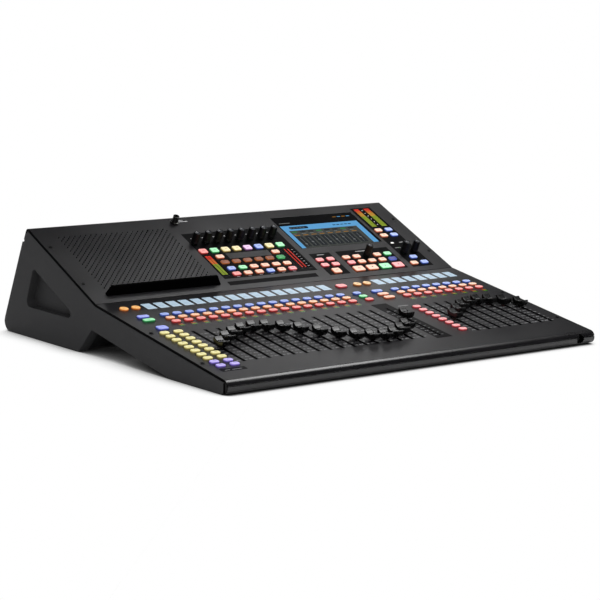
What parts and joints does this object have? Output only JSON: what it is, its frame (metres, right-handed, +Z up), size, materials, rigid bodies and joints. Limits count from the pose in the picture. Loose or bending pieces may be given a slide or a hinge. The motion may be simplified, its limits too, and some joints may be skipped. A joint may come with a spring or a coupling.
{
  "type": "mixing console",
  "caption": "Digital mixing console with sliding faders, turning encoder knobs, press keys, a touch display and sloped panels between moulded end cheeks; stands on a table.",
  "frame": {"origin": "on the table, under the middle of the console's width and of its depth at the feet", "axes": "+X towards the right end as the operator sees it, +Y towards the rear, +Z up"},
  "size_m": [0.682, 0.5816, 0.1711],
  "materials": {
    "cheek_moulding": "fine moulded grain",
    "panel_paint": "satin powder coat",
    "rail_black": "satin black",
    "chassis_paint": "fine powder coat",
    "ledge_rubber": "matt",
    "display_glass": "gloss, lit",
    "channel_lcd": "lit",
    "meter_lens": "smoked, lit",
    "fader_steel": "plated",
    "board_green": "solder mask",
    "supply_steel": "plated",
    "socket_black": "satin",
    "lamp_metal": "blackened",
    "screw_black": "black oxide",
    "foot_rubber": "matt",
    "key_blue": "translucent, lit",
    "key_orange": "translucent, lit",
    "key_red": "translucent, lit",
    "key_yellow": "translucent, lit",
    "key_warm": "translucent, lit",
    "key_pink": "translucent, lit",
    "knob_rubber": "soft touch",
    "cap_black": "satin",
    "rocker_black": "satin"
  },
  "bodies": {
    "console": {"left_cheek": "cheek_moulding", "right_cheek": "cheek_moulding", "upper_panel": "panel_paint", "lower_panel": "panel_paint", "front_rail": "rail_black", "chassis_pan": "chassis_paint", "tablet_ledge": "ledge_rubber", "touch_display": "display_glass", "channel_displays": "channel_lcd", "meter_windows": "meter_lens", "fader_bodies": "fader_steel", "circuit_boards": "board_green", "power_supply": "supply_steel", "panel_sockets": "socket_black", "lamp_socket": "lamp_metal", "panel_screws": "screw_black", "rubber_feet": "foot_rubber"},
    "fader_cap_01": {"fader_cap_01": "cap_black"},
    "fader_cap_02": {"fader_cap_02": "cap_black"},
    "fader_cap_03": {"fader_cap_03": "cap_black"},
    "fader_cap_04": {"fader_cap_04": "cap_black"},
    "fader_cap_05": {"fader_cap_05": "cap_black"},
    "fader_cap_06": {"fader_cap_06": "cap_black"},
    "fader_cap_07": {"fader_cap_07": "cap_black"},
    "fader_cap_08": {"fader_cap_08": "cap_black"},
    "fader_cap_09": {"fader_cap_09": "cap_black"},
    "fader_cap_10": {"fader_cap_10": "cap_black"},
    "fader_cap_11": {"fader_cap_11": "cap_black"},
    "fader_cap_12": {"fader_cap_12": "cap_black"},
    "fader_cap_13": {"fader_cap_13": "cap_black"},
    "fader_cap_14": {"fader_cap_14": "cap_black"},
    "fader_cap_15": {"fader_cap_15": "cap_black"},
    "fader_cap_16": {"fader_cap_16": "cap_black"},
    "fader_cap_17": {"fader_cap_17": "cap_black"},
    "fader_cap_18": {"fader_cap_18": "cap_black"},
    "fader_cap_19": {"fader_cap_19": "cap_black"},
    "fader_cap_20": {"fader_cap_20": "cap_black"},
    "fader_cap_21": {"fader_cap_21": "cap_black"},
    "fader_cap_22": {"fader_cap_22": "cap_black"},
    "fader_cap_23": {"fader_cap_23": "cap_black"},
    "fader_cap_24": {"fader_cap_24": "cap_black"},
    "fader_cap_main": {"fader_cap_main": "cap_black"},
    "encoder_knob_1": {"encoder_knob_1": "knob_rubber"},
    "encoder_knob_2": {"encoder_knob_2": "knob_rubber"},
    "encoder_knob_3": {"encoder_knob_3": "knob_rubber"},
    "encoder_knob_4": {"encoder_knob_4": "knob_rubber"},
    "encoder_knob_5": {"encoder_knob_5": "knob_rubber"},
    "encoder_knob_6": {"encoder_knob_6": "knob_rubber"},
    "encoder_knob_7": {"encoder_knob_7": "knob_rubber"},
    "encoder_knob_8": {"encoder_knob_8": "knob_rubber"},
    "value_knob": {"value_knob": "knob_rubber"},
    "monitor_knob": {"monitor_knob": "knob_rubber"},
    "phones_knob": {"phones_knob": "knob_rubber"},
    "select_keys": {"select_keys": "key_blue"},
    "solo_keys": {"solo_keys": "key_orange"},
    "mute_keys": {"mute_keys": "key_red"},
    "layer_keys": {"layer_keys": "key_yellow"},
    "channel_keys": {"channel_keys": "key_warm"},
    "master_keys": {"master_keys": "key_pink"},
    "power_rocker": {"power_rocker": "rocker_black"}
  },
  "joints": [
    {"name": "fader_01_slide", "type": "slide", "parent": "console", "child": "fader_cap_01", "axis": [0, 0.9848, 0.1736], "range_m": [-0.0447, 0.0553]},
    {"name": "fader_02_slide", "type": "slide", "parent": "console", "child": "fader_cap_02", "axis": [0, 0.9848, 0.1736], "range_m": [-0.06135, 0.03865]},
    {"name": "fader_03_slide", "type": "slide", "parent": "console", "child": "fader_cap_03", "axis": [0, 0.9848, 0.1736], "range_m": [-0.07546, 0.02454]},
    {"name": "fader_04_slide", "type": "slide", "parent": "console", "child": "fader_cap_04", "axis": [0, 0.9848, 0.1736], "range_m": [-0.08489, 0.01511]},
    {"name": "fader_05_slide", "type": "slide", "parent": "console", "child": "fader_cap_05", "axis": [0, 0.9848, 0.1736], "range_m": [-0.0882, 0.0118]},
    {"name": "fader_06_slide", "type": "slide", "parent": "console", "child": "fader_cap_06", "axis": [0, 0.9848, 0.1736], "range_m": [-0.08489, 0.01511]},
    {"name": "fader_07_slide", "type": "slide", "parent": "console", "child": "fader_cap_07", "axis": [0, 0.9848, 0.1736], "range_m": [-0.07546, 0.02454]},
    {"name": "fader_08_slide", "type": "slide", "parent": "console", "child": "fader_cap_08", "axis": [0, 0.9848, 0.1736], "range_m": [-0.06135, 0.03865]},
    {"name": "fader_09_slide", "type": "slide", "parent": "console", "child": "fader_cap_09", "axis": [0, 0.9848, 0.1736], "range_m": [-0.0447, 0.0553]},
    {"name": "fader_10_slide", "type": "slide", "parent": "console", "child": "fader_cap_10", "axis": [0, 0.9848, 0.1736], "range_m": [-0.02805, 0.07195]},
    {"name": "fader_11_slide", "type": "slide", "parent": "console", "child": "fader_cap_11", "axis": [0, 0.9848, 0.1736], "range_m": [-0.01394, 0.08606]},
    {"name": "fader_12_slide", "type": "slide", "parent": "console", "child": "fader_cap_12", "axis": [0, 0.9848, 0.1736], "range_m": [-0.00451, 0.09549]},
    {"name": "fader_13_slide", "type": "slide", "parent": "console", "child": "fader_cap_13", "axis": [0, 0.9848, 0.1736], "range_m": [-0.0012, 0.0988]},
    {"name": "fader_14_slide", "type": "slide", "parent": "console", "child": "fader_cap_14", "axis": [0, 0.9848, 0.1736], "range_m": [-0.00451, 0.09549]},
    {"name": "fader_15_slide", "type": "slide", "parent": "console", "child": "fader_cap_15", "axis": [0, 0.9848, 0.1736], "range_m": [-0.01394, 0.08606]},
    {"name": "fader_16_slide", "type": "slide", "parent": "console", "child": "fader_cap_16", "axis": [0, 0.9848, 0.1736], "range_m": [-0.02805, 0.07195]},
    {"name": "fader_17_slide", "type": "slide", "parent": "console", "child": "fader_cap_17", "axis": [0, 0.9848, 0.1736], "range_m": [-0.0447, 0.0553]},
    {"name": "fader_18_slide", "type": "slide", "parent": "console", "child": "fader_cap_18", "axis": [0, 0.9848, 0.1736], "range_m": [-0.06135, 0.03865]},
    {"name": "fader_19_slide", "type": "slide", "parent": "console", "child": "fader_cap_19", "axis": [0, 0.9848, 0.1736], "range_m": [-0.07546, 0.02454]},
    {"name": "fader_20_slide", "type": "slide", "parent": "console", "child": "fader_cap_20", "axis": [0, 0.9848, 0.1736], "range_m": [-0.08489, 0.01511]},
    {"name": "fader_21_slide", "type": "slide", "parent": "console", "child": "fader_cap_21", "axis": [0, 0.9848, 0.1736], "range_m": [-0.0882, 0.0118]},
    {"name": "fader_22_slide", "type": "slide", "parent": "console", "child": "fader_cap_22", "axis": [0, 0.9848, 0.1736], "range_m": [-0.08489, 0.01511]},
    {"name": "fader_23_slide", "type": "slide", "parent": "console", "child": "fader_cap_23", "axis": [0, 0.9848, 0.1736], "range_m": [-0.07546, 0.02454]},
    {"name": "fader_24_slide", "type": "slide", "parent": "console", "child": "fader_cap_24", "axis": [0, 0.9848, 0.1736], "range_m": [-0.06135, 0.03865]},
    {"name": "fader_main_slide", "type": "slide", "parent": "console", "child": "fader_cap_main", "axis": [0, 0.9848, 0.1736], "range_m": [-0.069, 0.031]},
    {"name": "encoder_1_turn", "type": "hinge", "parent": "console", "child": "encoder_knob_1", "pos_m": [-0.0869, 0.15068, 0.13227], "axis": [0, -0.4202, 0.9074], "continuous": true},
    {"name": "encoder_2_turn", "type": "hinge", "parent": "console", "child": "encoder_knob_2", "pos_m": [-0.06585, 0.15068, 0.13227], "axis": [0, -0.4202, 0.9074], "continuous": true},
    {"name": "encoder_3_turn", "type": "hinge", "parent": "console", "child": "encoder_knob_3", "pos_m": [-0.0448, 0.15068, 0.13227], "axis": [0, -0.4202, 0.9074], "continuous": true},
    {"name": "encoder_4_turn", "type": "hinge", "parent": "console", "child": "encoder_knob_4", "pos_m": [-0.02375, 0.15068, 0.13227], "axis": [0, -0.4202, 0.9074], "continuous": true},
    {"name": "encoder_5_turn", "type": "hinge", "parent": "console", "child": "encoder_knob_5", "pos_m": [-0.0027, 0.15068, 0.13227], "axis": [0, -0.4202, 0.9074], "continuous": true},
    {"name": "encoder_6_turn", "type": "hinge", "parent": "console", "child": "encoder_knob_6", "pos_m": [0.01835, 0.15068, 0.13227], "axis": [0, -0.4202, 0.9074], "continuous": true},
    {"name": "encoder_7_turn", "type": "hinge", "parent": "console", "child": "encoder_knob_7", "pos_m": [0.0394, 0.15068, 0.13227], "axis": [0, -0.4202, 0.9074], "continuous": true},
    {"name": "encoder_8_turn", "type": "hinge", "parent": "console", "child": "encoder_knob_8", "pos_m": [0.06045, 0.15068, 0.13227], "axis": [0, -0.4202, 0.9074], "continuous": true},
    {"name": "value_turn", "type": "hinge", "parent": "console", "child": "value_knob", "pos_m": [0.2012, 0.08244, 0.10067], "axis": [0, -0.4202, 0.9074], "continuous": true},
    {"name": "monitor_level_turn", "type": "hinge", "parent": "console", "child": "monitor_knob", "pos_m": [0.3, 0.08171, 0.10033], "axis": [0, -0.4202, 0.9074], "range_deg": [-150, 150]},
    {"name": "phones_level_turn", "type": "hinge", "parent": "console", "child": "phones_knob", "pos_m": [0.2785, 0.08171, 0.10033], "axis": [0, -0.4202, 0.9074], "range_deg": [-150, 150]},
    {"name": "select_keys_press", "type": "slide", "parent": "console", "child": "select_keys", "axis": [0, 0.1736, -0.9848], "range_m": [0, 0.0012]},
    {"name": "solo_keys_press", "type": "slide", "parent": "console", "child": "solo_keys", "axis": [0, 0.1736, -0.9848], "range_m": [0, 0.0012]},
    {"name": "mute_keys_press", "type": "slide", "parent": "console", "child": "mute_keys", "axis": [0, 0.1736, -0.9848], "range_m": [0, 0.0012]},
    {"name": "layer_keys_press", "type": "slide", "parent": "console", "child": "layer_keys", "axis": [0, 0.1736, -0.9848], "range_m": [0, 0.0012]},
    {"name": "channel_keys_press", "type": "slide", "parent": "console", "child": "channel_keys", "axis": [0, 0.4202, -0.9074], "range_m": [0, 0.0012]},
    {"name": "master_keys_press", "type": "slide", "parent": "console", "child": "master_keys", "axis": [0, 0.4202, -0.9074], "range_m": [0, 0.0012]},
    {"name": "power_rocker_tip", "type": "hinge", "parent": "console", "child": "power_rocker", "pos_m": [0.293, 0.24021, 0.11872], "axis": [1, 0, 0], "range_deg": [-14, 0]}
  ]
}
